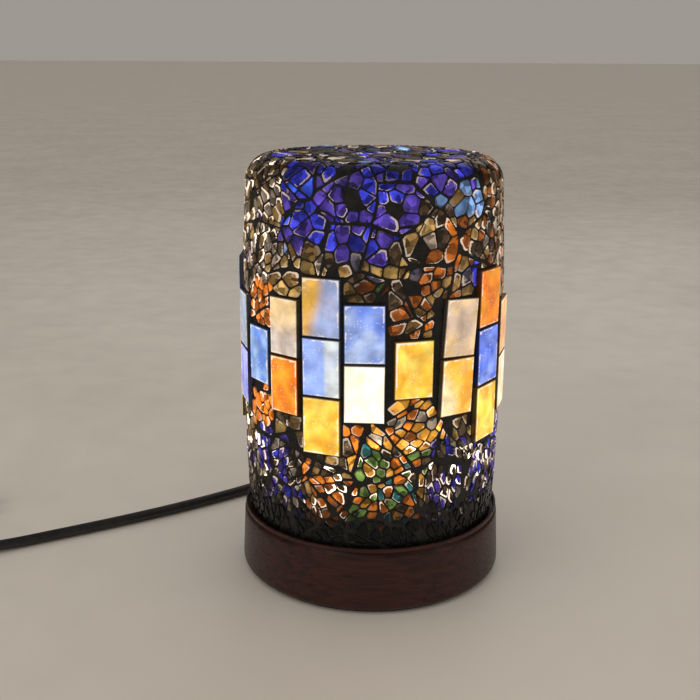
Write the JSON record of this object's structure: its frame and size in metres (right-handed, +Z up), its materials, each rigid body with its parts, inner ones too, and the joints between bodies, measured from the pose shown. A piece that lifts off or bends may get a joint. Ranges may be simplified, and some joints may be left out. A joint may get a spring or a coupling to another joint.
{
  "type": "mosaic glass table lamp",
  "caption": "Small drum-shaped accent lamp: stacked coloured glass tiles in black-grouted crackle mosaic on a glass shade, dark turned wooden base, cord with in-line switch.",
  "frame": {"origin": "middle of the base's underside, on the felt", "axes": "+Z up through the shade, -Y towards the front, the cord leaves towards +Y"},
  "size_m": [0.406, 0.1765, 0.2],
  "materials": {
    "stained_wood": "dark red-brown stain under satin lacquer",
    "felt": "short black felt",
    "cover_board": "pressed fibre board",
    "zinc_steel": "zinc plated",
    "nickel_blade": "nickel plated",
    "brass": "drawn, bright",
    "solder": "dull solder",
    "phenolic": "moulded, satin",
    "black_pvc": "soft satin",
    "clear_glass": "blown, polished",
    "black_glass": "glossy black insulator",
    "filament_wire": "emissive: glowing tungsten wire",
    "grout": "black cement grout, matte",
    "crackle_glass": "broken glass pieces, blue violet to amber, lit from inside",
    "tile_glass": "streaky pressed glass, blue, amber, orange and cream, lit from inside"
  },
  "bodies": {
    "base": {"base_cover": "cover_board", "centre_contact": "brass", "clamp_screw_1": "zinc_steel", "clamp_screw_2": "zinc_steel", "coil_tie": "black_pvc", "contact_plate": "phenolic", "cord_clamp": "phenolic", "cord_coil": "black_pvc", "cord_coil_run": "black_pvc", "cord_grommet": "black_pvc", "cord_lamp_run": "black_pvc", "cord_plug_run": "black_pvc", "cover_screw_1": "zinc_steel", "cover_screw_2": "zinc_steel", "cover_screw_3": "zinc_steel", "felt_pad": "felt", "holder_body": "phenolic", "lead_wire_1": "black_pvc", "lead_wire_2": "black_pvc", "nipple_nut": "zinc_steel", "nipple_washer": "zinc_steel", "plug_body": "black_pvc", "plug_pin_1": "nickel_blade", "plug_pin_2": "nickel_blade", "screw_shell": "brass", "switch_bottom": "black_pvc", "switch_screw_1": "zinc_steel", "switch_screw_2": "zinc_steel", "switch_top": "black_pvc", "terminal_screw_1": "brass", "terminal_screw_2": "brass", "threaded_nipple": "zinc_steel", "wooden_base": "stained_wood"},
    "shade": {"glass_shade": "clear_glass", "grout_coat": "grout", "mosaic_crown": "crackle_glass", "mosaic_upper": "crackle_glass", "mosaic_band": "tile_glass", "mosaic_lower": "crackle_glass"},
    "bulb_tip": {"bulb_contact": "solder"},
    "bulb": {"bulb_cap": "brass", "bulb_glass": "clear_glass", "bulb_insulator": "black_glass", "bulb_stem": "clear_glass", "filament": "filament_wire"},
    "rocker": {"switch_rocker": "phenolic"}
  },
  "joints": [
    {"name": "shade_lift", "type": "slide", "parent": "base", "child": "shade", "axis": [0, 0, 1], "range_m": [0, 0.17]},
    {"name": "bulb_lift", "type": "slide", "parent": "base", "child": "bulb_tip", "axis": [0, 0, 1], "range_m": [0, 0.0113]},
    {"name": "bulb_turn", "type": "hinge", "parent": "bulb_tip", "child": "bulb", "pos_m": [0, 0, 0.036], "axis": [0, 0, 1], "range_deg": [0, 1440]},
    {"name": "rocker_tilt", "type": "hinge", "parent": "base", "child": "rocker", "pos_m": [-0.226, -0.0294, 0.0106], "axis": [0.5078, -0.8615, 0], "range_deg": [-18, 0]}
  ],
  "couplings": [
    {"joint": "bulb_lift", "follows": "bulb_turn", "m_per_rad": 0.00044882}
  ]
}
